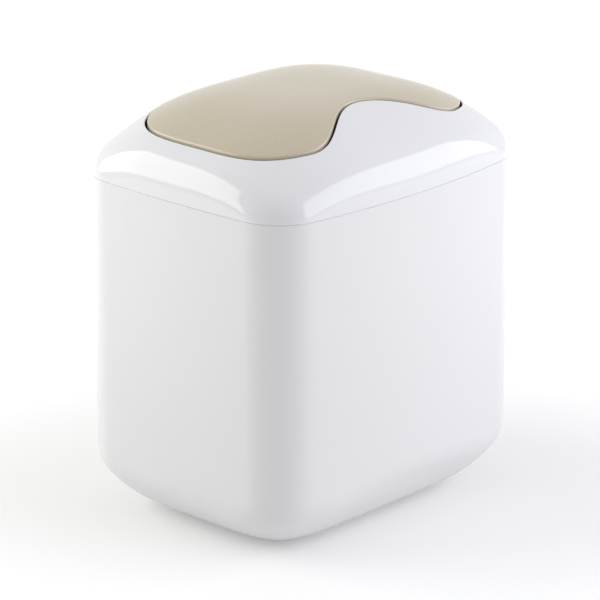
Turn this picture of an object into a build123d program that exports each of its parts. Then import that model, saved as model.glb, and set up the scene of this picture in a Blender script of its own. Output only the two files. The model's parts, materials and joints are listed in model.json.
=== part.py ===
from build123d import *
import math
import os

# Countertop trash can with a swing lid. Millimetres, +Z up, +X along the wide front face,
# +Y to the back. The origin is the middle of the foot, on the counter.

# ---- The whole can ----
can_width = 152.4        # X
can_depth = 127.0        # Y
can_height = 177.8       # Z, counter to the top of the closed flap
lid_height = 32.8        # from the seam, where the lid sits on the tub, to the top
corner_radius = 22.0     # upright corners, in plan
front_bow = 7.7          # bulge of the wide faces at their middle
side_bow = 2.2           # bulge of the narrow faces at their middle

# ---- The domed top: it falls away from its middle as a power curve along X and along Y ----
crown_drop_x = 19.8      # fall at the side walls
crown_power_x = 3.1
crown_drop_y = 22.0      # fall at the front and back walls
crown_power_y = 3.2
lid_rim_radius = 15.0    # where the dome rolls into the walls
rim_margin = 2.0         # a rolled rim stays this much tighter than the upright corners

# ---- The tub ----
tub_wall = 2.2
tub_floor = 2.8
wall_draft = 0.23        # degrees, the walls lean in towards the foot
belly_rise_x = 21.5      # rise of the rounded underside at the side walls
belly_power_x = 6.0
belly_rise_y = 30.2      # rise of the rounded underside at the front and back walls
belly_power_y = 5.0
tub_rim_radius = 18.0    # where the underside rolls into the walls
foot_flat = 0.25         # how much of the rounded underside the flat foot cuts off
foot_recess_width = 52.0
foot_recess_depth = 30.0
foot_recess_corner = 8.0
foot_recess_height = 0.6

# ---- The lid cover and its opening ----
cover_wall = 2.4
flap_proud = 0.5         # the closed flap stands this much above the cover
seam_bevel = 0.2         # bevel on the two visible edges of the seam
opening_side_margin = 11.5   # from the opening to the side walls, at their middle
opening_front_margin = 16.5  # from the opening to the front and back walls, before the shift
opening_power = 3.5      # squareness of the opening's rounded corners
opening_shift_y = -1.5   # the opening sits this far towards the front
notch_depth = 19.5       # finger notch in the middle of the flap's front edge
notch_side_margin = 21.7     # from the end of the notch to the side of the opening
lip_thickness = 1.1      # the cover is thinned at the opening, so the flap swings past it
lip_width = 2.0

# ---- The lid frame, clipped inside the cover ----
plug_clearance = 0.4     # between the plug ring and the inside of the tub
plug_wall = 1.8
plug_drop = 8.0          # how far the plug ring reaches into the tub
frame_clearance = 0.2    # between the frame and the inside of the cover
ring_height = 6.0        # from the seam up to the top of the plug ring
bracket_thickness = 3.0
bracket_foot = 18.0      # width of a pivot bracket where it stands on its shelf
bracket_head = 8.0
shelf_thickness = 2.5
shelf_width = 24.0
shelf_rise = 1.5         # from the seam up to the underside of the shelf
gusset_thickness = 1.6
gusset_setback = 4.8     # from each edge of the bracket's foot
gusset_height = 4.0
lug_width = 14.0
lug_height = 1.5
lug_place_x = 30.0
lug_rise = 2.5           # from the seam up to the underside of a lug
lug_bite = 0.3           # how far a lug reaches into the cover's wall
lug_clearance = 0.15

# ---- The flap ----
flap_gap = 1.0           # all round, between the flap and the opening
flap_wall = 2.2
flap_edge_radius = 1.0
pivot_y = 1.5
pivot_depth = 21.8       # below the top of the closed flap
flap_swing = 75.0        # degrees each way
pin_radius = 2.0
pin_running_clearance = 0.05
pin_overlap = 6.0        # how far a pin is pressed into its boss
bearing_wall = 3.0       # plastic round the pin, in the brackets and in the flap carrier
bearing_length = 4.0
end_play = 0.5           # between the flap carrier and each bracket
bracket_side_gap = 0.8   # between the edge of the flap and each bracket
boss_stand = 1.8         # how far a pin boss stands out from its cheek

# ---- The flap carrier, under the flap skin ----
rib_inset = 3.0
rib_thickness = 2.0
rib_height = 6.0
cross_rib_x = 38.0
stake_y = 24.0           # stakes stand this far before and behind the pivot
stake_radius = 1.5
stake_clearance = 0.05
stake_head_radius = 2.8
stake_head_height = 1.2
stake_boss_radius = 3.5
stake_boss_drop = 1.0    # how far a stake's boss reaches below the ribs
cheek_thickness = 3.5
cheek_top_width = 30.0

# ---- The counterweight: a steel rod below the pivot, which swings the flap shut ----
rod_radius = 3.5
rod_drop = 22.0          # below the pivot
rod_reach = 2.5          # how far the rod's ends pass the brackets' inner faces
rod_bevel = 0.5
rod_eye_wall = 2.5
stop_radius = 2.5        # pegs that the ends of the rod meet at full swing
stop_clearance = 0.35
stop_post_width = 6.0
stop_post_gap = 1.2      # between the end of the rod and the post that holds a peg
plastic_density = 1.10e-3    # grams in a cubic millimetre
steel_density = 7.85e-3

# ---- How the shapes are cut ----
spare = 10.0             # a block that cuts another runs this far past it
surface_reach = 1.12     # a domed surface runs past the walls by this ratio
surface_cells = 24       # points along each way of a domed surface, less one
surface_tolerance = 0.002
outline_points = 120     # points round the opening
facing = 0.7             # a face looks up or down when its normal leans less than about 45 degrees

# ---- Values worked out from the sizes above ----
above_all = can_height + spare
seam_height = can_height - lid_height
lid_base = seam_height - plug_drop - spare         # every lid form is drawn up from here
frame_top = seam_height + ring_height
shelf_height = seam_height + shelf_rise
lug_base = seam_height + lug_rise
pivot_height = can_height - pivot_depth
lid_apex = can_height - flap_proud
opening_half_width = can_width / 2 - opening_side_margin
opening_half_depth = can_depth / 2 - opening_front_margin
notch_half_width = opening_half_width - notch_side_margin
flap_half_width = opening_half_width - flap_gap
bracket_x = flap_half_width + bracket_side_gap     # inner face of a pivot bracket
boss_x = bracket_x - end_play                      # outer face of a pin boss
cheek_x = boss_x - boss_stand                      # outer face of a flap cheek
frame_inset = cover_wall + frame_clearance         # outside of the frame, in from the outer wall
plug_inset = tub_wall + plug_clearance
ring_inset = max(frame_inset, plug_inset)
lug_inset = ring_inset - frame_clearance - lug_bite
rod_height = pivot_height - rod_drop
rod_half_length = bracket_x + rod_reach


def plan(inset):
    """The can's outline in plan, a rounded rectangle with bowed sides, moved in by inset."""
    half_x = can_width / 2 - inset
    half_y = can_depth / 2 - inset
    corner_x = half_x - side_bow
    corner_y = half_y - front_bow
    with BuildSketch() as outline:
        with BuildLine():
            ThreePointArc((-corner_x, -corner_y), (0, -half_y), (corner_x, -corner_y))
            ThreePointArc((corner_x, -corner_y), (half_x, 0), (corner_x, corner_y))
            ThreePointArc((corner_x, corner_y), (0, half_y), (-corner_x, corner_y))
            ThreePointArc((-corner_x, corner_y), (-half_x, 0), (-corner_x, -corner_y))
        make_face()
        fillet(outline.vertices(), corner_radius - inset)
    return outline.sketch


def crowned_face(apex, drop_x, power_x, drop_y, power_y):
    """A surface over the whole plan that falls from apex as a power curve along X and along Y."""
    rows = []
    for i in range(surface_cells + 1):
        across = surface_reach * (2 * i / surface_cells - 1)
        row = []
        for j in range(surface_cells + 1):
            along = surface_reach * (2 * j / surface_cells - 1)
            height = apex - drop_x * abs(across) ** power_x - drop_y * abs(along) ** power_y
            row.append(Vector(across * can_width / 2, along * can_depth / 2, height))
        rows.append(row)
    return Face.make_surface_from_array_of_points(rows, tol=surface_tolerance)


def above_dome(apex):
    """Everything above the domed surface whose middle is at the height apex."""
    dome = crowned_face(apex, crown_drop_x, crown_power_x, crown_drop_y, crown_power_y)
    return extrude(dome, amount=above_all, dir=(0, 0, 1))


def largest_top_face(solid, direction):
    """The face that looks most along +Z (direction 1) or -Z (direction -1) over the largest area."""
    faces = [f for f in solid.faces() if f.normal_at().Z * direction > facing]
    return max(faces, key=lambda f: f.area)


def lid_form(inset, low):
    """The lid's outer form as a block that stands on the height low, shrunk by inset."""
    block = extrude(Pos(0, 0, lid_base) * plan(inset), amount=above_all - lid_base)
    block = (block - above_dome(lid_apex - inset)).solid()
    rim = min(lid_rim_radius, corner_radius - rim_margin) - inset
    block = block.fillet(rim, largest_top_face(block, 1).edges())
    if low > lid_base:
        block -= box_between((-can_width, can_width), (-can_depth, can_depth), (lid_base, low))
    return block.solid()


def tub_form(inset, floor, high):
    """The tub's outer form as a block up to the height high, shrunk by inset, its floor raised by floor."""
    block = extrude(Pos(0, 0, high) * plan(inset), amount=-high - spare, taper=wall_draft)
    belly = crowned_face(
        foot_flat - floor, belly_rise_x, belly_power_x, belly_rise_y, belly_power_y
    )
    below = extrude(mirror(belly, Plane.XY), amount=-can_height, dir=(0, 0, 1))
    block = (block - below).solid()
    rim = min(tub_rim_radius, corner_radius - rim_margin) - inset
    return block.fillet(rim, largest_top_face(block, -1).edges())


def opening_point(angle, offset):
    """A point of the opening's outline at a polar angle, moved outward by offset."""
    def on_line(a):
        power = opening_power
        across = abs(math.cos(a) / opening_half_width) ** power
        along = abs(math.sin(a) / opening_half_depth) ** power
        reach = (across + along) ** (-1 / power)
        x = reach * math.cos(a)
        y = reach * math.sin(a)
        if y < 0 and abs(x) < notch_half_width:
            y += notch_depth * math.cos(math.pi * x / (2 * notch_half_width)) ** 2
        return x, y + opening_shift_y

    step = 1e-4
    x, y = on_line(angle)
    ahead_x, ahead_y = on_line(angle + step)
    behind_x, behind_y = on_line(angle - step)
    run_x = ahead_x - behind_x
    run_y = ahead_y - behind_y
    length = math.hypot(run_x, run_y)
    return x + offset * run_y / length, y - offset * run_x / length


def opening_outline(offset):
    """The opening's outline as a face, moved outward by offset. It begins at the middle of the back."""
    turn = 2 * math.pi / outline_points
    points = [opening_point(math.pi / 2 + i * turn, offset) for i in range(outline_points)]
    return make_face(Spline(points, periodic=True))


def opening_prism(offset, low):
    """The opening's outline as an upright block from the height low to above the can."""
    return extrude(Pos(0, 0, low) * opening_outline(offset), amount=above_all - low)


def box_between(x, y, z):
    """A box between the pairs of limits x, y and z."""
    size = [high - low for low, high in (x, y, z)]
    middle = [(high + low) / 2 for low, high in (x, y, z)]
    return Pos(*middle) * Box(*size)


def bar_along_x(radius, start, end, y, z):
    """A round bar along X from start to end, centred on y and z."""
    centre = Pos((start + end) / 2, y, z) * Rot(0, 90, 0)
    return centre * Cylinder(radius, abs(end - start))


def upright_bar(radius, x, y, low, high):
    """A round bar along Z from low to high, centred on x and y."""
    return Pos(x, y, (low + high) / 2) * Cylinder(radius, high - low)


def both_sides(shape):
    """The shape and its mirror image across the middle of the can."""
    return [shape, mirror(shape, Plane.YZ)]


def lug_box(side_x, side_y, clearance):
    """The block that a clip lug takes up at one place of the front or the back wall."""
    half = lug_width / 2 + clearance
    middle = side_x * lug_place_x
    far = can_depth / 2 * side_y
    near = can_depth / 4 * side_y
    return box_between(
        (middle - half, middle + half),
        (min(far, near), max(far, near)),
        (lug_base - clearance, lug_base + lug_height + clearance),
    )


def all_lug_boxes(clearance):
    """The four clip lugs' blocks."""
    return [lug_box(i, j, clearance) for i in (-1, 1) for j in (-1, 1)]


def seam_edge_waste(way):
    """What the bevel takes off the outer edge at the seam, above it (way 1) or below it (way -1)."""
    seam = Pos(0, 0, seam_height)
    reach = 2 * seam_bevel * way
    slab = extrude(seam * Rectangle(2 * can_width, 2 * can_depth), amount=reach)
    return slab - extrude(seam * plan(seam_bevel), amount=reach, taper=-45)


def bin_tub():
    """The tub that holds the waste, one moulding with a flat foot round a shallow recess."""
    outer = tub_form(0, 0, seam_height)
    inner = tub_form(tub_wall, tub_floor, seam_height + spare)
    recess = extrude(
        RectangleRounded(foot_recess_width, foot_recess_depth, foot_recess_corner),
        amount=foot_recess_height,
    )
    under_counter = box_between((-can_width, can_width), (-can_depth, can_depth), (-spare, 0))
    return (outer - inner - under_counter - recess - seam_edge_waste(-1)).solid()


def lid_cover():
    """The glossy cover: a domed shell with the flap opening, thinned to a lip round it."""
    cover = lid_form(0, seam_height) - lid_form(cover_wall, lid_base)
    cover -= seam_edge_waste(1)
    cover -= opening_prism(lip_width, seam_height) & lid_form(lip_thickness, seam_height)
    cover -= opening_prism(0, seam_height - spare)
    groove_form = lid_form(lug_inset - lug_clearance, seam_height)
    for block in all_lug_boxes(lug_clearance):
        cover -= groove_form & block
    return cover.solid()


def stop_peg(way, rod_y):
    """Y and Z of the peg that the rod meets when the flap swings fully one way (1 or -1)."""
    lean = math.atan2(rod_y - pivot_y, rod_drop)
    arm = math.hypot(rod_y - pivot_y, rod_drop)
    beyond = 2 * math.asin((rod_radius + stop_radius + stop_clearance) / (2 * arm))
    turn = math.radians(flap_swing) + way * lean + beyond
    return pivot_y + way * arm * math.sin(turn), pivot_height - arm * math.cos(turn)


def lid_frame(rod_y):
    """The inner frame: plug ring, shelves with the pivot brackets, stop pegs and clip lugs."""
    low = seam_height - plug_drop
    ring = lid_form(ring_inset, low) - lid_form(ring_inset + plug_wall, lid_base)
    ring -= box_between((-can_width, can_width), (-can_depth, can_depth), (frame_top, above_all))
    room = lid_form(ring_inset, lid_base)
    wall_x = can_width / 2 - ring_inset - plug_wall / 2
    shelf_top = shelf_height + shelf_thickness

    shelf = box_between(
        (bracket_x, wall_x),
        (pivot_y - shelf_width / 2, pivot_y + shelf_width / 2),
        (shelf_height, shelf_top),
    )
    upright = Polyline(
        (pivot_y - bracket_foot / 2, shelf_height),
        (pivot_y + bracket_foot / 2, shelf_height),
        (pivot_y + bracket_head / 2, pivot_height),
        (pivot_y - bracket_head / 2, pivot_height),
        close=True,
    )
    bracket = extrude(
        Plane.YZ.offset(bracket_x) * make_face(upright), amount=bracket_thickness
    )
    bracket += bar_along_x(
        pin_radius + bearing_wall, bracket_x, bracket_x + bearing_length, pivot_y, pivot_height
    )
    side = shelf + bracket
    for way in (-1, 1):
        gusset_y = pivot_y + way * (bracket_foot / 2 - gusset_setback)
        slope = Polyline(
            (bracket_x + bracket_thickness, shelf_top),
            (wall_x, shelf_top),
            (bracket_x + bracket_thickness, shelf_top + gusset_height),
            close=True,
        )
        side += extrude(
            Plane.XZ.offset(-gusset_y) * make_face(slope), amount=gusset_thickness / 2, both=True
        )
        peg_y, peg_z = stop_peg(way, rod_y)
        side += bar_along_x(stop_radius, bracket_x, wall_x, peg_y, peg_z)
        side += box_between(
            (rod_half_length + stop_post_gap, wall_x),
            (peg_y - stop_post_width / 2, peg_y + stop_post_width / 2),
            (shelf_height, peg_z),
        )
    side &= room
    side -= bar_along_x(
        pin_radius + pin_running_clearance, bracket_x - spare, can_width, pivot_y, pivot_height
    )
    frame = ring
    for half in both_sides(side):
        frame += half
    lug_form = lid_form(lug_inset, seam_height) - lid_form(ring_inset + plug_wall / 2, seam_height)
    for block in all_lug_boxes(0):
        frame += lug_form & block
    return frame.solid()


def stake_places():
    """Where the four stakes stand, in plan."""
    return [(i * cross_rib_x, pivot_y + j * stake_y) for i in (-1, 1) for j in (-1, 1)]


def stake_seat(x, y):
    """The height of the carrier boss's underside at a stake."""
    fall = crown_drop_x * abs(2 * x / can_width) ** crown_power_x
    fall += crown_drop_y * abs(2 * y / can_depth) ** crown_power_y
    return can_height - flap_wall - rib_height - stake_boss_drop - fall


def swing_flap():
    """The flap's visible skin, domed like the cover, with four stakes melted over under it."""
    block = (opening_prism(-flap_gap, seam_height) - above_dome(can_height)).solid()
    block = block.fillet(flap_edge_radius, largest_top_face(block, 1).edges())
    skin = block & above_dome(can_height - flap_wall)
    for x, y in stake_places():
        seat = stake_seat(x, y)
        root = seat + stake_boss_drop + rib_height + flap_wall / 2
        skin += upright_bar(stake_radius, x, y, seat, root)
        skin += upright_bar(stake_head_radius, x, y, seat - stake_head_height, seat)
    return skin.solid()


def flap_carrier(rod_y):
    """The flap's inner moulding: ribs under the skin, cheeks with the pivot bosses and the rod's eyes."""
    edge = -flap_gap - rib_inset
    pockets = opening_prism(edge - rib_thickness, lid_base)
    pockets -= box_between(
        (-can_width, can_width),
        (pivot_y - rib_thickness / 2, pivot_y + rib_thickness / 2),
        (0, above_all),
    )
    for x in (-cross_rib_x, cross_rib_x):
        pockets -= box_between(
            (x - rib_thickness / 2, x + rib_thickness / 2), (-can_depth, can_depth), (0, above_all)
        )
    ribs = opening_prism(edge, seam_height) - pockets
    carrier = ribs & above_dome(can_height - flap_wall - rib_height)

    pin_boss_radius = pin_radius + bearing_wall
    eye_radius = rod_radius + rod_eye_wall
    cheek_in = cheek_x - cheek_thickness
    wing = Polyline(
        (pivot_y - cheek_top_width / 2, can_height),
        (pivot_y - pin_boss_radius, pivot_height),
        (rod_y - eye_radius, rod_height),
        (rod_y + eye_radius, rod_height),
        (pivot_y + pin_boss_radius, pivot_height),
        (pivot_y + cheek_top_width / 2, can_height),
        close=True,
    )
    cheek = extrude(Plane.YZ.offset(cheek_in) * make_face(wing), amount=cheek_thickness)
    cheek += bar_along_x(eye_radius, cheek_in, cheek_x, rod_y, rod_height)
    cheek += bar_along_x(pin_boss_radius, boss_x - pin_overlap, boss_x, pivot_y, pivot_height)
    for half in both_sides(cheek):
        carrier += half
    for x, y in stake_places():
        carrier += upright_bar(stake_boss_radius, x, y, stake_seat(x, y), above_all)

    # One cut ends the ribs, the cheeks and the bosses at the underside of the skin.
    carrier -= above_dome(can_height - flap_wall)
    carrier -= bar_along_x(pin_radius, -can_width, can_width, pivot_y, pivot_height)
    carrier -= bar_along_x(rod_radius, -can_width, can_width, rod_y, rod_height)
    for x, y in stake_places():
        carrier -= upright_bar(stake_radius + stake_clearance, x, y, 0, above_all)
    return carrier.solid()


def pivot_pin(side):
    """A plain steel pin, pressed into the flap carrier and free to turn in its bracket."""
    start = boss_x - pin_overlap
    end = bracket_x + bearing_length
    return bar_along_x(pin_radius, side * start, side * end, pivot_y, pivot_height)


def counterweight_rod(rod_y):
    """The steel rod that hangs below the pivot and brings the flap back to level."""
    rod = bar_along_x(rod_radius, -rod_half_length, rod_half_length, rod_y, rod_height)
    ends = rod.edges().filter_by(GeomType.CIRCLE)
    return chamfer(ends, rod_bevel)


def balanced_rod_place(skin, carrier):
    """Where the rod hangs in Y, so that the closed flap rests level."""
    moment = 0.0
    for moulding in (skin, carrier):
        mass = moulding.volume * plastic_density
        moment += mass * (moulding.center(CenterOf.MASS).Y - pivot_y)
    rod_mass = math.pi * rod_radius**2 * 2 * rod_half_length * steel_density
    return pivot_y - moment / rod_mass


skin = swing_flap()
rod_y = balanced_rod_place(skin, flap_carrier(pivot_y))
print(f"the rod hangs at y = {rod_y:.3f}, {rod_y - pivot_y:+.3f} from the pivot")

nodes = {
    "bin_tub": bin_tub(),
    "lid_cover": lid_cover(),
    "lid_frame": lid_frame(rod_y),
    "swing_flap": skin,
    "flap_carrier": flap_carrier(rod_y),
    "pivot_pin_left": pivot_pin(-1),
    "pivot_pin_right": pivot_pin(1),
    "counterweight_rod": counterweight_rod(rod_y),
}

os.makedirs("parts", exist_ok=True)
for name, solid in nodes.items():
    export_step(solid, f"parts/{name}.step")
    print(name, round(solid.volume), "mm3")
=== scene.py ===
# %% [markdown]
# # A countertop trash can with a swing lid
#
# The can is a white moulded tub under a glossy white cover. A champagne-coloured flap swings in
# the cover's opening, hung on two steel pins and kept shut by a steel rod. The construction model
# already says where every part is and how it moves. This lesson puts a smooth surface in the
# place of each part and gives it its finish.

import json
import math

import bmesh
import bpy
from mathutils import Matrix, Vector


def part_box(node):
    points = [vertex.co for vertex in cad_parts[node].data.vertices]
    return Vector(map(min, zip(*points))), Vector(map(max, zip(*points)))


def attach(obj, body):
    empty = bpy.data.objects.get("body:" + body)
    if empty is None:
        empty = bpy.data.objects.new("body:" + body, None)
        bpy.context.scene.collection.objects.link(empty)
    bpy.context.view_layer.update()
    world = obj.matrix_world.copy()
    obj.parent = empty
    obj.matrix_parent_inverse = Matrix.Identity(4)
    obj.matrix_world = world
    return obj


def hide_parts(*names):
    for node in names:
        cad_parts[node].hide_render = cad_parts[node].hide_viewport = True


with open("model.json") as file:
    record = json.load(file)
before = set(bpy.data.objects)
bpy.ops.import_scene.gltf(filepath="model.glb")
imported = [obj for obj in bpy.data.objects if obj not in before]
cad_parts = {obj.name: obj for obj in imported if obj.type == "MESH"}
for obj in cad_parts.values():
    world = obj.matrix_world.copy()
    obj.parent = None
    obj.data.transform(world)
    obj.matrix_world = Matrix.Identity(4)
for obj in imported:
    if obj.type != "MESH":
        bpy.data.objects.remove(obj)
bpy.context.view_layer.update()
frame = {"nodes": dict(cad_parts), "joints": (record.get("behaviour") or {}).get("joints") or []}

# %% [markdown]
# ## The size of the can
#
# All sizes are in metres, written as millimetres times MM. They are the ones the can was designed
# with, so a surface built here lies where the construction model has it.

# %% The size of the can
MM = 0.001

width = 152.4 * MM
depth = 127.0 * MM
height = 177.8 * MM

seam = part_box("lid_cover")[0].z
hinge = next(joint for joint in frame["joints"] if joint["name"] == "flap_swing")
pivot = Vector(hinge["pos_m"])
print("seam at", round(seam / MM, 3), "mm; pivot at", [round(v / MM, 3) for v in pivot])

# %% [markdown]
# ## The outline in plan
#
# Seen from above the can is a rectangle with bowed sides and rounded corners: eight arcs that
# touch without a kink. A station is one place on that outline. Every ring of every shell uses the
# same stations, so the rings join up without a twist, and corners get closer stations than sides.

# %% The outline in plan
FRONT_STEPS = 64
SIDE_STEPS = 44
CORNER_STEPS = 22
CORRECTION_ROUNDS = 40

corner_radius = 22.0 * MM
front_bow = 7.7 * MM
side_bow = 2.2 * MM


def plan_outline(inset=0.0):
    """(point, outward normal) at every station, counter-clockwise, moved in by inset."""
    half_x = width / 2 - inset
    half_y = depth / 2 - inset
    chord_x = half_x - side_bow
    chord_y = half_y - front_bow
    front_radius = (chord_x**2 + front_bow**2) / (2 * front_bow)
    side_radius = (chord_y**2 + side_bow**2) / (2 * side_bow)
    front_centre = front_radius - half_y
    side_centre = half_x - side_radius
    corner = corner_radius - inset

    # The corner's centre is as far inside both bowed sides as the corner's own radius.
    reach_front = front_radius - corner
    reach_side = side_radius - corner
    x, y = half_x - corner, corner - half_y
    for _ in range(CORRECTION_ROUNDS):
        x = side_centre + math.sqrt(reach_side**2 - y**2)
        y = front_centre - math.sqrt(reach_front**2 - x**2)
    lean_front = math.atan2(x, front_centre - y)
    lean_side = math.atan2(-y, x - side_centre)

    # Half the outline is a front, a corner, a side and a corner. Turned by 180 degrees it
    # gives the other half.
    quarter = math.pi / 2
    arcs = []
    for turn in (0, 2):
        flip = 1 if turn == 0 else -1
        start = -quarter + turn * quarter
        front_end = start + lean_front
        side_begin = start + quarter - lean_side
        side_end = start + quarter + lean_side
        back_begin = start + 2 * quarter - lean_front
        arcs += [
            ((0, flip * front_centre), front_radius, start - lean_front, front_end, FRONT_STEPS),
            ((flip * x, flip * y), corner, front_end, side_begin, CORNER_STEPS),
            ((flip * side_centre, 0), side_radius, side_begin, side_end, SIDE_STEPS),
            ((flip * x, -flip * y), corner, side_end, back_begin, CORNER_STEPS),
        ]
    outline = []
    for centre, radius, begin, end, steps in arcs:
        for step in range(steps):
            angle = begin + (end - begin) * step / steps
            normal = Vector((math.cos(angle), math.sin(angle)))
            outline.append((Vector(centre) + radius * normal, normal))
    return outline


stations = [math.atan2(point.y, point.x) for point, normal in plan_outline()]
print("stations:", len(stations))

# %% [markdown]
# ## The opening in the lid
#
# The opening is a squarish oval, a superellipse. A wave along its front edge makes the notch that
# lets two fingers press the cover down beside the flap. The flap has the same outline, a
# millimetre smaller all round.

# %% The opening in the lid
opening_half_width = 64.7 * MM
opening_half_depth = 47.0 * MM
opening_power = 3.5
opening_shift_y = -1.5 * MM
notch_depth = 19.5 * MM
notch_half_width = 43.0 * MM


def opening_point(angle, offset):
    """(point, outward normal) of the opening at a polar angle, moved outward by offset."""
    def on_line(a):
        across = abs(math.cos(a) / opening_half_width) ** opening_power
        along = abs(math.sin(a) / opening_half_depth) ** opening_power
        reach = (across + along) ** (-1 / opening_power)
        x, y = reach * math.cos(a), reach * math.sin(a)
        if y < 0 and abs(x) < notch_half_width:
            y += notch_depth * math.cos(math.pi * x / (2 * notch_half_width)) ** 2
        return Vector((x, y + opening_shift_y))

    step = 1e-4
    run = on_line(angle + step) - on_line(angle - step)
    normal = Vector((run.y, -run.x)).normalized()
    return on_line(angle) + offset * normal, normal


notch_top = opening_point(-math.pi / 2, 0)[0]
print("the notch reaches in to y =", round(notch_top.y / MM, 2), "mm")

# %% [markdown]
# ## The domed top and the rounded underside
#
# The top falls away from its middle as a power curve along each axis, and the underside rises in
# the same way. A high power keeps the middle nearly flat and bends the surface close to the
# walls. The lowest quarter of a millimetre is cut away flat, so that the can stands firm.

# %% The domed top and the rounded underside
crown_drop_x = 19.8 * MM
crown_power_x = 3.1
crown_drop_y = 22.0 * MM
crown_power_y = 3.2

belly_rise_x = 21.5 * MM
belly_power_x = 6.0
belly_rise_y = 30.2 * MM
belly_power_y = 5.0
foot_flat = 0.25 * MM


def dome(apex):
    """The height of the top, as a function of a place in plan, when its middle is at apex."""
    def height_at(p):
        fall_x = crown_drop_x * abs(2 * p.x / width) ** crown_power_x
        fall_y = crown_drop_y * abs(2 * p.y / depth) ** crown_power_y
        return apex - fall_x - fall_y
    return height_at


def belly(lift):
    """The height of the underside, as a function of a place in plan, raised by lift."""
    def height_at(p):
        rise_x = belly_rise_x * abs(2 * p.x / width) ** belly_power_x
        rise_y = belly_rise_y * abs(2 * p.y / depth) ** belly_power_y
        return lift - foot_flat + rise_x + rise_y
    return height_at


def facing(height_at, p, up):
    """The surface's normal at a place in plan, pointing up (1) or down (-1)."""
    step = 1e-5
    step_x, step_y = Vector((step, 0)), Vector((0, step))
    slope_x = (height_at(p + step_x) - height_at(p - step_x)) / (2 * step)
    slope_y = (height_at(p + step_y) - height_at(p - step_y)) / (2 * step)
    return Vector((-slope_x * up, -slope_y * up, up)).normalized()


half_way = Vector((width / 4, 0))
print("half way to the side the top has fallen", round(-dome(0)(half_way) / MM, 2), "mm")

# %% [markdown]
# ## The rolled edges
#
# Where the top or the underside meets the upright wall, a ball rolled along the corner between
# them leaves a round edge. For each station the ball touches the wall at the outline and the
# surface at a point that a few rounds of correction find. A profile is then a list of points:
# some on a surface, some on the ball's arc, some on the wall. Shares between 0 and 1 say how far
# along its stretch each point lies.

# %% The rolled edges
def rolled_edge(point, outward, radius, height_at, up=1):
    """The rolling ball's centre and the direction from it to where it touches the surface."""
    middle = point - radius * outward
    lean = Vector((0, 0, up))
    for _ in range(CORRECTION_ROUNDS):
        touch = middle + radius * lean.xy
        lean = facing(height_at, touch, up)
    return Vector((middle.x, middle.y, height_at(touch) - radius * lean.z)), lean


def between(a, b, share):
    return a + (b - a) * share


def on_arc(centre, radius, start, end, share):
    """A point on the arc about centre from direction start to direction end."""
    whole = start.angle(end)
    start_part = math.sin((1 - share) * whole) * start
    end_part = math.sin(share * whole) * end
    return centre + radius * ((start_part + end_part) / math.sin(whole))


def over_surface(a, b, height_at, shares):
    """Points on a surface along the straight line in plan from a to b."""
    places = [between(a, b, share) for share in shares]
    return [Vector((p.x, p.y, height_at(p))) for p in places]


def even(count):
    """Shares from 0 to 1 without the first, in count steps."""
    return [(i + 1) / count for i in range(count)]


print("shares of a stretch in four steps:", even(4))

# %% [markdown]
# ## Drawing a shell ring by ring
#
# A shell is modelled the way a mug is thrown: start with a ring, pull it up a little, shape it,
# and pull again. Each ring is extruded from the last one and laid on the next section. A number
# stored on each vertex says which station it belongs to, and extruding copies it. An end that is
# still open gets a grid of faces, because faces that all met in one point would pinch a
# reflection there.

# %% Drawing a shell ring by ring
RING_MERGE = 0.5e-6


def deselect_all():
    if bpy.context.object and bpy.context.object.mode != "OBJECT":
        bpy.ops.object.mode_set(mode="OBJECT")
    bpy.ops.object.select_all(action="DESELECT")


def rounded(place):
    return tuple(round(v / MM, 4) for v in place)


def close_ring(shell, places):
    """Fills the ring through places with a grid of faces, about as many long as wide."""
    mesh = bmesh.from_edit_mesh(shell.data)
    bpy.ops.mesh.select_all(action="DESELECT")
    wanted = {rounded(place) for place in places}
    for vertex in mesh.verts:
        if vertex.is_boundary and rounded(vertex.co) in wanted:
            vertex.select = True
    mesh.select_flush_mode()
    bmesh.update_edit_mesh(shell.data)
    bpy.ops.mesh.fill_grid(span=len(places) // 4)


def drawn_shell(name, profiles, closed_ends):
    """A shell whose rings run through the points of the profiles, one profile for each station."""
    deselect_all()
    bpy.ops.mesh.primitive_circle_add(vertices=len(profiles), radius=width / 2)
    shell = bpy.context.object
    shell.name = name
    bpy.ops.object.mode_set(mode="EDIT")
    mesh = bmesh.from_edit_mesh(shell.data)
    station = mesh.verts.layers.int.new("station")
    mesh.verts.ensure_lookup_table()
    for i, vertex in enumerate(mesh.verts):
        vertex[station] = i
        vertex.co = profiles[i][0]
    bpy.ops.mesh.select_all(action="SELECT")
    for ring in range(1, len(profiles[0])):
        bpy.ops.mesh.extrude_edges_move()
        mesh = bmesh.from_edit_mesh(shell.data)
        station = mesh.verts.layers.int["station"]
        for vertex in mesh.verts:
            if vertex.select:
                vertex.co = profiles[vertex[station]][ring]
    if closed_ends:
        for ring in (0, -1):
            close_ring(shell, [profile[ring] for profile in profiles])
    bpy.ops.mesh.select_all(action="SELECT")
    bpy.ops.mesh.remove_doubles(threshold=RING_MERGE)
    bpy.ops.mesh.normals_make_consistent(inside=False)
    bpy.ops.object.mode_set(mode="OBJECT")
    return shell


def smooth(piece, degrees=30):
    """Shades a piece smooth, except over edges sharper than the angle."""
    deselect_all()
    piece.select_set(True)
    bpy.context.view_layer.objects.active = piece
    bpy.ops.object.shade_smooth_by_angle(angle=math.radians(degrees))


def report(piece):
    triangles = sum(len(face.vertices) - 2 for face in piece.data.polygons)
    size = []
    for axis in range(3):
        along = [corner[axis] for corner in piece.bound_box]
        size.append(round((max(along) - min(along)) / MM, 2))
    print(f"{piece.name}: {triangles} triangles, {size} mm")


print("a shell has", len(stations), "vertices in each ring")

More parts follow.
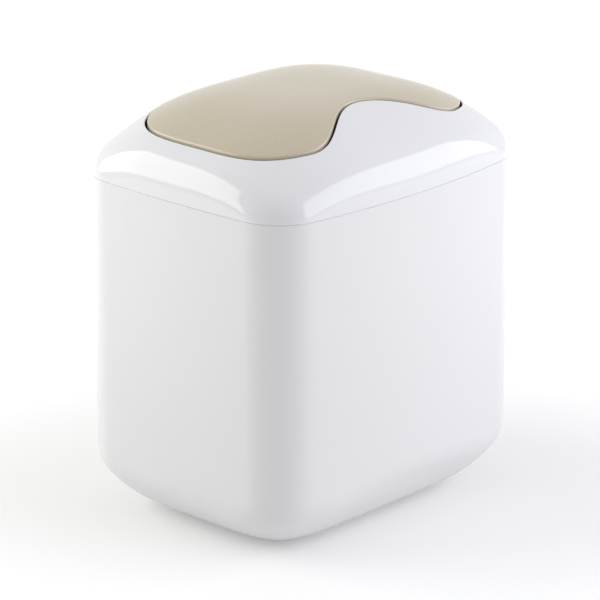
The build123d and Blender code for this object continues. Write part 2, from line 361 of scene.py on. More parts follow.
# %% [markdown]
# ## The tub's sizes and its foot
#
# The tub is one moulding: an outer wall that leans in by a quarter of a degree towards the foot, a
# rounded underside with a shallow recess, and an inner surface a wall thickness away. The recess
# is a rounded rectangle. A direction's reach to its edge is found by halving: a guess that lies
# outside is pulled in, one that lies inside is pushed out.

# %% The tub's sizes and its foot
tub_wall = 2.2 * MM
tub_floor = 2.8 * MM
wall_draft = math.radians(0.23)
tub_rim_radius = 18.0 * MM
recess_half_width = 26.0 * MM
recess_half_depth = 15.0 * MM
recess_corner = 8.0 * MM
recess_height = 0.6 * MM

lean_in = math.tan(wall_draft)
underside = belly(0)
floor_top = belly(tub_floor)


def recess_point(angle):
    """The foot recess's outline at a polar angle."""
    direction = Vector((math.cos(angle), math.sin(angle)))
    low, high = 0.0, recess_half_width + recess_half_depth
    for _ in range(CORRECTION_ROUNDS):
        reach = (low + high) / 2
        over_x = max(abs(direction.x) * reach - recess_half_width + recess_corner, 0)
        over_y = max(abs(direction.y) * reach - recess_half_depth + recess_corner, 0)
        if math.hypot(over_x, over_y) > recess_corner:
            high = reach
        else:
            low = reach
    return low * direction


def wall_point(base, outward, z):
    """The tub's wall at the height z, where base is its place at the seam."""
    place = base - outward * (seam - z) * lean_in
    return Vector((place.x, place.y, z))


recess_corner_point = recess_point(math.atan2(recess_half_depth, recess_half_width))
print("the recess's corner is", round(recess_corner_point.length / MM, 2), "mm from the middle")

# %% [markdown]
# ## The tub
#
# One profile runs from the recess, out over the underside, up the wall, over the seam edge and
# back down inside, so the whole tub is a single closed skin. Cover and tub meet without a gap, and
# on the real can a fine shadow line shows there. A slot round the tub's rim, two tenths of a
# millimetre high and twice as deep, holds that shadow in the shape itself, where a painted line
# would be wrong under other light.

# %% The tub
UNDERSIDE_STEPS = 14
TUB_ROLL_STEPS = 14
WALL_STEPS = 12
INNER_TUB_STEPS = 10

seam_bevel = 0.15 * MM
slot_height = 0.2 * MM
slot_depth = 0.4 * MM
floor_hub_share = 0.3
floor_grid_half_x = 30 * MM
floor_grid_half_y = 25 * MM
floor_grid_low = 1.5 * MM
floor_grid_high = 2 * tub_floor


def tub_outside(angle, point, outward):
    """The profile from the recess over the underside and up the wall to the slot."""
    edge = recess_point(angle)
    profile = [
        Vector((edge.x / 2, edge.y / 2, recess_height)),
        Vector((edge.x, edge.y, recess_height)),
        Vector((edge.x, edge.y, 0)),
    ]
    foot = wall_point(point, outward, tub_rim_radius).xy
    centre, lean = rolled_edge(foot, outward, tub_rim_radius, underside, up=-1)
    touch = (centre + tub_rim_radius * lean).xy
    for place in over_surface(edge, touch, underside, even(UNDERSIDE_STEPS)):
        profile.append(Vector((place.x, place.y, max(place.z, 0))))
    sideways = outward.to_3d()
    for share in even(TUB_ROLL_STEPS):
        profile.append(on_arc(centre, tub_rim_radius, lean, sideways, share))
    ledge = seam - slot_height
    for share in even(WALL_STEPS):
        z = between(centre.z, ledge - seam_bevel, share)
        profile.append(wall_point(point, outward, z))
    for inset, z in ((seam_bevel, ledge), (slot_depth, ledge), (slot_depth, seam)):
        slot_point = point - inset * outward
        profile.append(Vector((slot_point.x, slot_point.y, z)))
    return profile


def tub_inside(point, outward):
    """The profile from the rim down the inner wall and over the floor towards its middle."""
    radius = tub_rim_radius - tub_wall
    foot = wall_point(point, outward, tub_rim_radius).xy
    centre, lean = rolled_edge(foot, outward, radius, floor_top, up=-1)
    profile = []
    for share in [0] + even(INNER_TUB_STEPS):
        profile.append(wall_point(point, outward, between(seam, centre.z, share)))
    sideways = outward.to_3d()
    for share in even(INNER_TUB_STEPS):
        profile.append(on_arc(centre, radius, sideways, lean, share))
    touch = (centre + radius * lean).xy
    hub = touch * floor_hub_share
    return profile + over_surface(touch, hub, floor_top, even(INNER_TUB_STEPS))


tub_profiles = []
for angle, outer, inner in zip(stations, plan_outline(), plan_outline(tub_wall)):
    tub_profiles.append(tub_outside(angle, *outer) + tub_inside(*inner))
tub_shell = drawn_shell("tub_shell", tub_profiles, closed_ends=True)

# The grid that closes the floor is flat. Its vertices are laid back on the floor's curve.
for vertex in tub_shell.data.vertices:
    on_floor = floor_grid_low < vertex.co.z < floor_grid_high
    near_x = abs(vertex.co.x) < floor_grid_half_x
    near_y = abs(vertex.co.y) < floor_grid_half_y
    if on_floor and near_x and near_y:
        vertex.co.z = floor_top(vertex.co.xy)
smooth(tub_shell)
report(tub_shell)
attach(tub_shell, "tub")
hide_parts("bin_tub")

# %% [markdown]
# ## The cover's rim
#
# The cover's rim rolls from the dome down into the wall. At the can's corners it is still rolling
# where the seam cuts it, so the stretch from the dome to the seam is measured along its length
# and divided evenly. Rings that followed the angle of the roll alone would run off the cover
# there.

# %% The cover's rim
cover_wall = 2.4 * MM
lid_rim_radius = 15.0 * MM


def rim_to_seam(point, outward, radius, height_at, low, count):
    """Points from the dome's edge over the rolled rim and down the wall to the height low."""
    centre, lean = rolled_edge(point, outward, radius, height_at)
    sideways = outward.to_3d()
    whole = lean.angle(sideways)
    rest = max(low - centre.z, 0) / radius
    share_end = 1 - math.asin(rest * math.sin(whole) / lean.z) / whole
    roll_length = radius * whole * share_end
    wall_length = max(centre.z - low, 0)
    points = []
    for share in [0] + even(count):
        run = share * (roll_length + wall_length)
        if run <= roll_length:
            points.append(on_arc(centre, radius, lean, sideways, run / (radius * whole)))
        else:
            points.append(Vector((point.x, point.y, centre.z - (run - roll_length))))
    return points


print("rim radius:", round(lid_rim_radius / MM, 1), "mm outside")

# %% [markdown]
# ## The cover
#
# The cover's profile starts under the lip of the opening, turns over its fine edge, runs across
# the dome to the rolled rim and down to the seam, then returns along the inner surface. Round the
# opening the wall is thinned to a lip, so that the gap beside the flap looks fine and light. The
# rings are closest beside the lip's tight edge and spread out over the dome.

# %% The cover
LIP_STEPS = 4
RIM_STEPS = 20
INNER_RIM_STEPS = 14
CEILING_STEPS = 6

flap_proud = 0.5 * MM
lip_thickness = 1.1 * MM
lip_width = 2.0 * MM
lip_edge_radius = 0.25 * MM
cover_shares = [0.02, 0.05, 0.1, 0.17, 0.25, 0.34, 0.43, 0.52, 0.61, 0.7, 0.78, 0.86, 0.93]

lid_apex = height - flap_proud
cover_top = dome(lid_apex)
under_lip = dome(lid_apex - lip_thickness)
ceiling = dome(lid_apex - cover_wall)


def cover_outside(angle, point, outward):
    """The profile from under the lip over the dome and the rim, down to the seam."""
    edge, edge_outward = opening_point(angle, 0)
    inward = -edge_outward.to_3d()
    centre, lean = rolled_edge(edge, -edge_outward, lip_edge_radius, cover_top)
    lip = Vector((edge.x, edge.y, under_lip(edge)))
    profile = [lip, Vector((edge.x, edge.y, (centre.z + lip.z) / 2))]
    for share in [0] + even(LIP_STEPS):
        profile.append(on_arc(centre, lip_edge_radius, inward, lean, share))
    rim = rim_to_seam(point, outward, lid_rim_radius, cover_top, seam + seam_bevel, RIM_STEPS)
    start = (centre + lip_edge_radius * lean).xy
    profile += over_surface(start, rim[0].xy, cover_top, cover_shares)
    profile += rim
    bevelled = rim[-1].xy - seam_bevel * outward
    profile.append(Vector((bevelled.x, bevelled.y, seam)))
    return profile


def cover_inside(angle, point, outward):
    """The profile from the seam up the inner rim and under the dome to the step of the lip."""
    radius = lid_rim_radius - cover_wall
    rim = rim_to_seam(point, outward, radius, ceiling, seam, INNER_RIM_STEPS)
    step_edge = opening_point(angle, lip_width)[0]
    profile = list(reversed(rim))
    profile += over_surface(rim[0].xy, step_edge, ceiling, even(CEILING_STEPS))
    profile.append(Vector((step_edge.x, step_edge.y, under_lip(step_edge))))
    return profile


cover_profiles = []
for angle, outer, inner in zip(stations, plan_outline(), plan_outline(cover_wall)):
    profile = cover_outside(angle, *outer) + cover_inside(angle, *inner)
    cover_profiles.append(profile + [profile[0].copy()])
cover_shell = drawn_shell("cover_shell", cover_profiles, closed_ends=False)
smooth(cover_shell)
report(cover_shell)
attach(cover_shell, "lid")
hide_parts("lid_cover")

# %% [markdown]
# ## The flap's skin
#
# The skin is a thin dome with a one-millimetre rounded edge, which catches the light as a fine
# bead. It stands half a millimetre proud of the cover. Rings run in from the edge to half way,
# and a grid of faces fills the middle.

# %% The flap's skin
BEAD_STEPS = 8
UNDER_STEPS = 8

flap_gap = 1.0 * MM
flap_wall = 2.2 * MM
flap_edge_radius = 1.0 * MM
flap_middle = Vector((0, 4 * MM))
flap_hub_share = 0.5
flap_grid_half_x = 33 * MM
flap_grid_half_y = 25 * MM
skin_shares = [0, 0.15, 0.3, 0.45, 0.6, 0.72, 0.82, 0.9, 0.95, 0.98]

skin_top = dome(height)
skin_under = dome(height - flap_wall)


def flap_profile(angle):
    """The profile from half way out over the skin, round its edge and back in under it."""
    edge, outward = opening_point(angle, -flap_gap)
    centre, lean = rolled_edge(edge, outward, flap_edge_radius, skin_top)
    touch = (centre + flap_edge_radius * lean).xy
    hub = between(flap_middle, touch, flap_hub_share)
    profile = over_surface(hub, touch, skin_top, skin_shares)
    sideways = outward.to_3d()
    for share in [0] + even(BEAD_STEPS):
        profile.append(on_arc(centre, flap_edge_radius, lean, sideways, share))
    bottom = skin_under(edge)
    profile.append(Vector((edge.x, edge.y, (centre.z + bottom) / 2)))
    profile.append(Vector((edge.x, edge.y, bottom)))
    return profile + over_surface(edge, hub, skin_under, even(UNDER_STEPS))


flap_skin = drawn_shell("flap_skin", [flap_profile(a) for a in stations], closed_ends=True)

# The grids that fill the middle are flat. Their vertices are laid back on the two domes.
for vertex in flap_skin.data.vertices:
    place = vertex.co.xy
    top_z, under_z = skin_top(place), skin_under(place)
    away = place - flap_middle
    if abs(away.x) < flap_grid_half_x and abs(away.y) < flap_grid_half_y:
        vertex.co.z = top_z if vertex.co.z > (top_z + under_z) / 2 else under_z
smooth(flap_skin)
report(flap_skin)

# %% [markdown]
# ## The stakes under the flap
#
# Four round stakes stand under the skin. They go through the carrier, and their ends are melted
# over into flat mushroom heads that hold it. A stake is turned like a chess piece: a circle is
# pulled down and resized at each change of its profile. One is modelled. Copies of it, each with
# its own mesh, go to the other places, and all four are joined to the skin.

# %% The stakes under the flap
STAKE_SIDES = 32

stake_radius = 1.5 * MM
stake_length = 7.6 * MM
stake_x = 38.0 * MM
stake_reach_y = 24.0 * MM
head_radius = 2.8 * MM
head_height = 1.2 * MM
boss_below_skin = flap_wall + 7.0 * MM

# Radius and height of each ring, from the top down; the head's seat is at 0.
stake_profile = [
    (stake_radius, stake_length),
    (stake_radius, 0.15 * MM),
    (stake_radius + 0.15 * MM, 0),
    (head_radius - 0.3 * MM, 0),
    (head_radius, -0.3 * MM),
    (head_radius, -0.6 * MM),
    (head_radius - 0.25 * MM, -0.95 * MM),
    (head_radius - 0.8 * MM, -head_height + 0.05 * MM),
    (head_radius - 1.6 * MM, -head_height),
    (0.3 * MM, -head_height + 0.1 * MM),
]


def turned(name, profile, sides):
    """A closed round piece about the Z axis, through (radius, height) pairs from its top down."""
    deselect_all()
    radius, top_z = profile[0]
    bpy.ops.mesh.primitive_circle_add(
        vertices=sides, radius=radius, fill_type="NGON", location=(0, 0, top_z)
    )
    piece = bpy.context.object
    piece.name = name
    bpy.ops.object.transform_apply(location=True, rotation=False, scale=False)
    bpy.ops.object.mode_set(mode="EDIT")
    bpy.ops.mesh.select_all(action="SELECT")
    for (wide, high), (next_wide, low) in zip(profile, profile[1:]):
        bpy.ops.mesh.extrude_region_move(TRANSFORM_OT_translate={"value": (0, 0, low - high)})
        ratio = next_wide / wide
        bpy.ops.transform.resize(value=(ratio, ratio, 1), center_override=(0, 0, low))
    bpy.ops.mesh.select_all(action="SELECT")
    bpy.ops.mesh.normals_make_consistent(inside=False)
    bpy.ops.object.mode_set(mode="OBJECT")
    return piece


def own_copy(piece):
    """A copy of a piece with a mesh of its own."""
    copy = piece.copy()
    copy.data = piece.data.copy()
    bpy.context.scene.collection.objects.link(copy)
    return copy


first_stake = turned("stake", stake_profile, STAKE_SIDES)
stakes = [first_stake] + [own_copy(first_stake) for _ in range(3)]
corners = [(side, way) for side in (-1, 1) for way in (-1, 1)]
for stake, (side, way) in zip(stakes, corners):
    place = Vector((side * stake_x, pivot.y + way * stake_reach_y))
    stake.location = (place.x, place.y, skin_top(place) - boss_below_skin)
deselect_all()
for stake in stakes:
    stake.select_set(True)
bpy.context.view_layer.objects.active = stakes[0]
bpy.ops.object.transform_apply(location=True, rotation=False, scale=False)
flap_skin.select_set(True)
bpy.context.view_layer.objects.active = flap_skin
bpy.ops.object.join()
smooth(flap_skin)
report(flap_skin)
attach(flap_skin, "flap")
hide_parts("swing_flap")

# %% [markdown]
# ## The steel rod and the pivot pins
#
# The rod is a cut length of drawn bar with its edges broken, and the two pins are short dowels.
# Each is a cylinder of the size that the construction model has, with its end edges bevelled.

# %% The steel rod and the pivot pins
ROD_SIDES = 96
PIN_SIDES = 64
BEVEL_STEPS = 3
rod_bevel = 0.5 * MM
pin_bevel = 0.35 * MM


def bar(name, node, bevel, sides):
    """A bar along X in place of a construction node, its two end edges bevelled."""
    low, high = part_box(node)
    middle = (Vector(low) + Vector(high)) / 2
    length = high[0] - low[0]
    radius = (high[2] - low[2]) / 2
    deselect_all()
    bpy.ops.mesh.primitive_cylinder_add(
        vertices=sides, radius=radius, depth=length, location=middle, rotation=(0, math.pi / 2, 0)
    )
    piece = bpy.context.object
    piece.name = name
    bpy.ops.object.transform_apply(location=True, rotation=True, scale=True)
    bpy.ops.object.mode_set(mode="EDIT")
    bpy.ops.mesh.select_all(action="DESELECT")
    mesh = bmesh.from_edit_mesh(piece.data)
    for edge in mesh.edges:
        ends = {round(vertex.co.x / MM, 3) for vertex in edge.verts}
        if len(ends) == 1:
            edge.select = True
    mesh.select_flush_mode()
    bmesh.update_edit_mesh(piece.data)
    bpy.ops.mesh.bevel(offset=bevel, segments=BEVEL_STEPS, affect="EDGES")
    bpy.ops.object.mode_set(mode="OBJECT")
    smooth(piece)
    report(piece)
    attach(piece, "flap")
    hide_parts(node)
    return piece


rod = bar("steel_rod", "counterweight_rod", rod_bevel, ROD_SIDES)
pins = [
    bar("pin_left", "pivot_pin_left", pin_bevel, PIN_SIDES),
    bar("pin_right", "pivot_pin_right", pin_bevel, PIN_SIDES),
]

# %% [markdown]
# ## The frame and the carrier
#
# The two inner mouldings keep the shape of the construction model. A construction mesh is loose
# triangles, so each is copied, its doubled vertices are merged, and the copy is shaded smooth
# except over sharp edges. Then a highlight runs over a curved rib as it does on moulded plastic.

# %% The frame and the carrier
COPY_MERGE = 1e-6
COPY_SMOOTH_DEGREES = 25


def merged_copy(name, node, body):
    """A merged, smooth-shaded copy of a construction node, in its place."""
    piece = own_copy(frame["nodes"][node])
    piece.name = name
    piece.parent = None
    piece.matrix_world.identity()
    deselect_all()
    piece.select_set(True)
    bpy.context.view_layer.objects.active = piece
    bpy.ops.object.mode_set(mode="EDIT")
    bpy.ops.mesh.select_all(action="SELECT")
    bpy.ops.mesh.remove_doubles(threshold=COPY_MERGE)
    bpy.ops.mesh.customdata_custom_splitnormals_clear()
    bpy.ops.object.mode_set(mode="OBJECT")
    smooth(piece, COPY_SMOOTH_DEGREES)
    report(piece)
    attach(piece, body)
    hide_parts(node)
    return piece


inner_frame = merged_copy("inner_frame", "lid_frame", "lid")
inner_carrier = merged_copy("inner_carrier", "flap_carrier", "flap")

# %% [markdown]
# ## Small tools for building node trees
#
# A material in Blender is a tree of nodes. These helpers add a node, set its values and link it in
# one line, so that the recipes below read like recipes. A number can stand where a link can.

# %% Small tools for building node trees
def new_group(name, inputs, outputs):
    """An empty node group with number inputs (name, default) and outputs (name, socket type)."""
    group = bpy.data.node_groups.new(name, "ShaderNodeTree")
    make_socket = group.interface.new_socket
    for label, value in inputs:
        socket = make_socket(name=label, in_out="INPUT", socket_type="NodeSocketFloat")
        socket.default_value = value
    for label, kind in outputs:
        make_socket(name=label, in_out="OUTPUT", socket_type=kind)
    return group, group.nodes.new("NodeGroupInput"), group.nodes.new("NodeGroupOutput")


def add(tree, kind, **values):
    """A node with its properties set; a key that starts with in__ sets the input of that name."""
    node = tree.nodes.new(kind)
    for key, value in values.items():
        if key.startswith("in__"):
            label = key.removeprefix("in__").replace("_", " ")
            node.inputs[label].default_value = value
        else:
            setattr(node, key, value)
    return node


def object_place(tree):
    """Every point's place on the piece, in metres."""
    return add(tree, "ShaderNodeTexCoord").outputs["Object"]


def noise(tree, scale, detail, roughness=0.5, vector=None):
    """A soft random pattern with about scale waves to the metre."""
    node = add(tree, "ShaderNodeTexNoise")
    node.inputs["Scale"].default_value = scale
    node.inputs["Detail"].default_value = detail
    node.inputs["Roughness"].default_value = roughness
    if vector is None:
        vector = object_place(tree)
    tree.links.new(vector, node.inputs["Vector"])
    return node.outputs["Fac"]


def maths(tree, operation, a, b):
    node = add(tree, "ShaderNodeMath", operation=operation)
    for socket, value in zip(node.inputs, (a, b)):
        if isinstance(value, (int, float)):
            socket.default_value = value
        else:
            tree.links.new(value, socket)
    return node.outputs[0]


def swing(tree, pattern):
    """A pattern moved from between 0 and 1 to about 0, so that it swings both ways."""
    return maths(tree, "SUBTRACT", pattern, 0.5)


print("helpers: a group, a node, a noise, a sum")

# %% [markdown]
# ## Grain for moulded plastic
#
# A mould leaves two things on plastic. Polished steel gives a slow waviness, the orange peel that
# bends a reflection a little, and blasted steel gives a fine grain that spreads it. Every plastic
# here has both in its own measure, so they are one group of nodes with named inputs. It also puts
# out slow patches, which make the gloss uneven the way handling does.

# %% Grain for moulded plastic
GRAIN_SCALE = 3200
PEEL_SCALE = 210
PATCH_SCALE = 22


def moulded_grain():
    inputs = [("Grain", 0.0), ("Peel", 0.0), ("Gloss", 0.3), ("Spread", 0.0)]
    outputs = [("Height", "NodeSocketFloat"), ("Roughness", "NodeSocketFloat")]
    group, given, result = new_group("moulded_grain", inputs, outputs)
    grain = swing(group, noise(group, GRAIN_SCALE, detail=3))
    peel = swing(group, noise(group, PEEL_SCALE, detail=1))
    patches = swing(group, noise(group, PATCH_SCALE, detail=3))
    high_grain = maths(group, "MULTIPLY", grain, given.outputs["Grain"])
    high_peel = maths(group, "MULTIPLY", peel, given.outputs["Peel"])
    group.links.new(maths(group, "ADD", high_grain, high_peel), result.inputs["Height"])
    uneven = maths(group, "MULTIPLY", patches, given.outputs["Spread"])
    rough = maths(group, "ADD", uneven, given.outputs["Gloss"])
    group.links.new(rough, result.inputs["Roughness"])
    return group


grain_group = moulded_grain()
print("group:", grain_group.name, [item.name for item in grain_group.interface.items_tree])

# %% [markdown]
# ## Flakes for pearl plastic
#
# The champagne resin is filled with mica: tiny flakes, each lying at its own angle, so each is a
# little lighter or darker than its neighbours. Cells of a third of a millimetre with a random
# tone make that sparkle, and a slow cloud on top makes the colour drift over the moulding.

# %% Flakes for pearl plastic
FLAKE_SCALE = 2900
CLOUD_SCALE = 30


def pearl_flakes():
    inputs = [("Sparkle", 0.5), ("Drift", 0.2)]
    group, given, result = new_group("pearl_flakes", inputs, [("Tone", "NodeSocketFloat")])
    cells = add(group, "ShaderNodeTexVoronoi", in__Scale=FLAKE_SCALE)
    group.links.new(object_place(group), cells.inputs["Vector"])
    tone = add(group, "ShaderNodeSeparateColor")
    group.links.new(cells.outputs["Color"], tone.inputs[0])
    flake = swing(group, tone.outputs[0])
    cloud = swing(group, noise(group, CLOUD_SCALE, detail=2))
    sparkle = maths(group, "MULTIPLY", flake, given.outputs["Sparkle"])
    drift = maths(group, "MULTIPLY", cloud, given.outputs["Drift"])
    both = maths(group, "ADD", sparkle, drift)
    clamped = add(group, "ShaderNodeClamp")
    group.links.new(maths(group, "ADD", both, 0.5), clamped.inputs["Value"])
    group.links.new(clamped.outputs[0], result.inputs["Tone"])
    return group


flake_group = pearl_flakes()
print("group:", flake_group.name, [item.name for item in flake_group.interface.items_tree])

# %% [markdown]
# ## The recipe for plastic
#
# All five plastics share one recipe. The colour runs between a dark and a light tone, the grain
# group drives the roughness and a bump, and the shader's own sockets hold what is the same all
# over.

# %% The recipe for plastic
TONE_SCALE = 9
PLASTIC_BUMP = 0.2
PLASTIC_RELIEF = 0.1 * MM


def group_node(tree, group, values):
    node = add(tree, "ShaderNodeGroup", node_tree=group)
    for label, value in values.items():
        node.inputs[label].default_value = value
    return node


def new_material(name):
    material = bpy.data.materials.new(name)
    material.use_nodes = True
    tree = material.node_tree
    return material, tree, tree.nodes["Principled BSDF"]


def two_tones(tree, shader, tone, dark, light):
    """Colours the shader between dark and light by a pattern."""
    mix = add(tree, "ShaderNodeMix", data_type="RGBA")
    mix.inputs["A"].default_value = (*dark, 1)
    mix.inputs["B"].default_value = (*light, 1)
    tree.links.new(tone, mix.inputs["Factor"])
    tree.links.new(mix.outputs["Result"], shader.inputs["Base Color"])


def relief(tree, shader, height_pattern, strength, distance):
    """Bumps the shader's surface by a pattern."""
    bumps = add(tree, "ShaderNodeBump", in__Strength=strength, in__Distance=distance)
    tree.links.new(height_pattern, bumps.inputs["Height"])
    tree.links.new(bumps.outputs["Normal"], shader.inputs["Normal"])


def plastic(name, dark, light, grain, fixed, flakes=None):
    """A moulded plastic: two tones, the grain group's inputs, and the shader's constant sockets."""
    material, tree, shader = new_material(name)
    for label, value in fixed.items():
        shader.inputs[label].default_value = value
    surface = group_node(tree, grain_group, grain)
    tree.links.new(surface.outputs["Roughness"], shader.inputs["Roughness"])
    relief(tree, shader, surface.outputs["Height"], PLASTIC_BUMP, PLASTIC_RELIEF)
    if flakes:
        tone = group_node(tree, flake_group, flakes).outputs["Tone"]
    else:
        tone = noise(tree, TONE_SCALE, detail=2)
    two_tones(tree, shader, tone, dark, light)
    return material


def paint(material, *pieces):
    for piece in pieces:
        piece.data.materials.clear()
        piece.data.materials.append(material)
        print(piece.name, "is painted", material.name)


print("the plastics' relief is", round(PLASTIC_RELIEF / MM, 2), "mm deep at most")

# %% [markdown]
# ## The white plastics
#
# The cover is polished, so it gets a clear coat with a sharp reflection, and the tub below it is a
# shade less glossy. The inner frame comes from a blasted mould and is matte.

# %% The white plastics
tub_white = plastic(
    "tub_white",
    dark=(0.865, 0.865, 0.875),
    light=(0.895, 0.895, 0.905),
    grain={"Grain": 0.15, "Peel": 0.4, "Gloss": 0.24, "Spread": 0.06},
    fixed={"IOR": 1.42},
)
cover_white = plastic(
    "cover_white",
    dark=(0.86, 0.86, 0.885),
    light=(0.89, 0.89, 0.92),
    grain={"Grain": 0.0, "Peel": 0.4, "Gloss": 0.07, "Spread": 0.04},
    fixed={"IOR": 1.5, "Coat Weight": 0.15, "Coat Roughness": 0.02},
)
frame_white = plastic(
    "frame_white",
    dark=(0.74, 0.74, 0.74),
    light=(0.80, 0.80, 0.80),
    grain={"Grain": 1.5, "Peel": 0.5, "Gloss": 0.55, "Spread": 0.1},
    fixed={"IOR": 1.5},
)
paint(tub_white, tub_shell)
paint(cover_white, cover_shell)
paint(frame_white, inner_frame)

# %% [markdown]
# ## The champagne plastics
#
# Both have the flakes. The skin is a satin pearl under a clear coat, which mirrors softly where
# the pearl below only shines. The carrier under it is the same resin from a blasted mould, darker
# and matte.

# %% The champagne plastics
flap_pearl = plastic(
    "flap_pearl",
    dark=(0.53, 0.465, 0.335),
    light=(0.63, 0.555, 0.415),
    grain={"Grain": 0.3, "Peel": 0.6, "Gloss": 0.34, "Spread": 0.06},
    fixed={"IOR": 1.5, "Coat Weight": 0.6, "Coat Roughness": 0.07},
    flakes={"Sparkle": 0.5, "Drift": 0.3},
)
carrier_tan = plastic(
    "carrier_tan",
    dark=(0.36, 0.32, 0.27),
    light=(0.46, 0.42, 0.36),
    grain={"Grain": 1.5, "Peel": 0.5, "Gloss": 0.5, "Spread": 0.1},
    fixed={"IOR": 1.5},
    flakes={"Sparkle": 0.25, "Drift": 0.4},
)
paint(flap_pearl, flap_skin)
paint(carrier_tan, inner_carrier)

# %% [markdown]
# ## The steel
#
# Drawn bar has fine lines along its length, left by the die. A noise squeezed across the bar and
# stretched along it makes them, in the roughness, in the tone and in a slight bump.

# %% The steel
LINE_SCALE = 2600
LINE_STRETCH = (0.03, 1, 1)

steel, tree, shader = new_material("drawn_steel")
shader.inputs["Metallic"].default_value = 1.0
shader.inputs["IOR"].default_value = 2.5
stretch = add(tree, "ShaderNodeMapping", in__Scale=LINE_STRETCH)
tree.links.new(object_place(tree), stretch.inputs["Vector"])
lines = noise(tree, LINE_SCALE, detail=3, roughness=0.6, vector=stretch.outputs["Vector"])
gloss = add(tree, "ShaderNodeMapRange", in__To_Min=0.2, in__To_Max=0.42)
tree.links.new(lines, gloss.inputs["Value"])
tree.links.new(gloss.outputs["Result"], shader.inputs["Roughness"])
two_tones(tree, shader, lines, dark=(0.50, 0.50, 0.50), light=(0.68, 0.68, 0.67))
relief(tree, shader, lines, strength=0.3, distance=0.02 * MM)
paint(steel, rod, *pins)

# %% [markdown]
# ## The floor
#
# The can stands on a plain white floor. Away from the can the floor shows full white to the
# camera and in reflections, and close to the can it shows less. That dimmer ring round the can is
# painted shade, and it keeps the can's real soft shadow from being washed out.
# A floor lit to white by lamps would throw much of that light back up at the can. Here the white
# is a colour that only those rays see, and it lights nothing.

# %% The floor
floor_size = 6.0
white_from = 0.10
white_full = 0.45
# Close to the can the floor glows less: painted shade round the can.
glow_in_painted_shade = 0.25


def seen_rays(tree):
    """1 for the rays that show a surface: camera, glossy and transmission rays."""
    rays = add(tree, "ShaderNodeLightPath")
    seen = maths(tree, "MAXIMUM", rays.outputs["Is Camera Ray"], rays.outputs["Is Glossy Ray"])
    return maths(tree, "MAXIMUM", seen, rays.outputs["Is Transmission Ray"])


deselect_all()
bpy.ops.mesh.primitive_plane_add(size=floor_size)
floor = bpy.context.object
floor.name = "floor"
floor_white, tree, shader = new_material("floor_white")
shader.inputs["Base Color"].default_value = (0.8, 0.8, 0.8, 1)
shader.inputs["Roughness"].default_value = 0.9
shader.inputs["Emission Color"].default_value = (1, 1, 1, 1)
away = add(tree, "ShaderNodeVectorMath", operation="LENGTH")
tree.links.new(object_place(tree), away.inputs[0])
# The glow rises from its least near the can to full white further out: painted shade round the can.
glow = add(tree, "ShaderNodeMapRange", interpolation_type="SMOOTHSTEP")
glow.inputs["From Min"].default_value = white_from
glow.inputs["From Max"].default_value = white_full
glow.inputs["To Min"].default_value = glow_in_painted_shade
tree.links.new(away.outputs["Value"], glow.inputs["Value"])
strength = maths(tree, "MULTIPLY", seen_rays(tree), glow.outputs["Result"])
tree.links.new(strength, shader.inputs["Emission Strength"])
paint(floor_white, floor)

# %% [markdown]
# ## The world
#
# The world is the even light that a white room gives from all sides. It shows white behind the
# can and in its gloss, and gives only part of that as light, because a stronger even light would
# wash out the form.

# %% The world
ambient = 0.38

world = bpy.data.worlds.new("studio")
bpy.context.scene.world = world
world.use_nodes = True
tree = world.node_tree
background = tree.nodes["Background"]
background.inputs["Color"].default_value = (1, 1, 1, 1)
tree.links.new(maths(tree, "MAXIMUM", seen_rays(tree), ambient), background.inputs["Strength"])
print("world:", world.name, "gives", ambient)

# %% [markdown]
# ## The softboxes
#
# Small glossy things are lit with softboxes: broad white cloths with a flash behind them. In
# Blender that is an area light. Two upright ones stand beside the can, one behind its left wall
# and one in front of its right wall. The lid's shoulders mirror them as two soft patches. The
# corner between them gets the least light, which gives the can its form. A third, small one hangs
# over the can and lifts the top of the lid. It is kept out of the gloss, because a third patch
# would show in the lid's corner. Wide lamps were chosen over points or a sun, because only a wide
# lamp has a soft edge in a gloss.

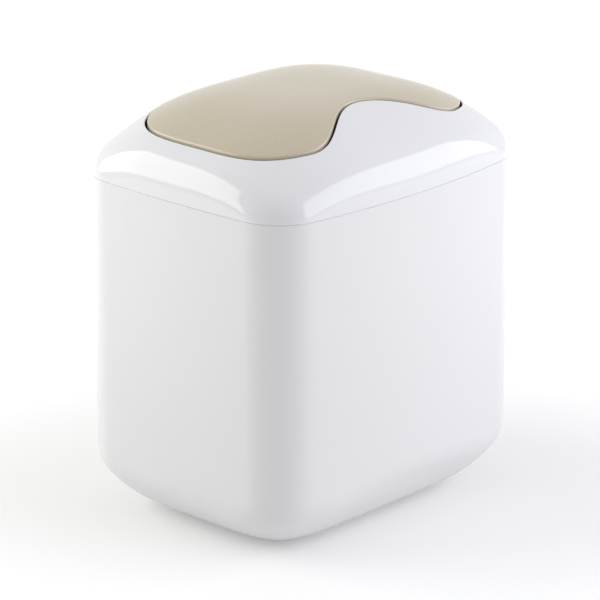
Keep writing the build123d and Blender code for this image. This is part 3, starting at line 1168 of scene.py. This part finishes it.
# %% The softboxes
def softbox(name, place, towards, wide, tall, watts, colour, mirrored=True):
    """A rectangular soft lamp at a place, shining in the direction towards."""
    deselect_all()
    bpy.ops.object.light_add(type="AREA", location=place)
    lamp = bpy.context.object
    lamp.name = name
    lamp.rotation_euler = towards.to_track_quat("-Z", "Y").to_euler()
    lamp.data.shape = "RECTANGLE"
    lamp.data.size = wide
    lamp.data.size_y = tall
    lamp.data.energy = watts
    lamp.data.color = colour
    lamp.visible_camera = False
    lamp.visible_glossy = mirrored
    print(name, "at", [round(v, 2) for v in place], "with", watts, "W")


def upright(name, azimuth, distance, wide, low, high, watts, colour):
    """A softbox that stands at an azimuth round the can, from the height low to the height high."""
    angle = math.radians(azimuth)
    away = Vector((math.sin(angle), -math.cos(angle), 0))
    place = distance * away + Vector((0, 0, (low + high) / 2))
    softbox(name, place, -away, wide, high - low, watts, colour)


warm_white = (1.0, 0.99, 0.955)
cool_white = (0.93, 0.935, 1.0)
plain_white = (0.97, 0.98, 1.0)
overhead = Vector((0, 0, 1.3))
upright("softbox_left", azimuth=-138, distance=0.72, wide=0.74, low=0.12, high=0.82,
        watts=4.3, colour=warm_white)
upright("softbox_right", azimuth=36, distance=1.10, wide=1.52, low=0.12, high=1.15,
        watts=11.0, colour=cool_white)
softbox("softbox_top", overhead, -overhead, wide=0.65, tall=0.65,
        watts=1.5, colour=plain_white, mirrored=False)
bpy.context.scene.view_settings.view_transform = "Standard"

# %% [markdown]
# ## The camera
#
# The camera looks at the front left corner from a little above the lid, from one and a half
# metres away through a long lens, so the upright edges stay nearly parallel. A small shift of the
# lens centres the can in the picture without turning the camera.

# %% The camera
camera_azimuth = math.radians(-47.0115)
camera_elevation = math.radians(18.8656)
camera_distance = 1.475494
look_at = Vector((0, 0, height / 2))

level = math.cos(camera_elevation)
back = Vector((
    math.sin(camera_azimuth) * level,
    -math.cos(camera_azimuth) * level,
    math.sin(camera_elevation),
))
deselect_all()
bpy.ops.object.camera_add()
camera = bpy.context.object
camera.name = "camera"
camera.location = look_at + camera_distance * back
camera.rotation_euler = back.to_track_quat("Z", "Y").to_euler()
camera.data.sensor_width = 36.0
camera.data.lens = 213.724
camera.data.shift_x = -0.00417
camera.data.shift_y = -0.01507
camera.data.clip_end = 20
bpy.context.scene.camera = camera
print("camera at", [round(v, 3) for v in camera.location])
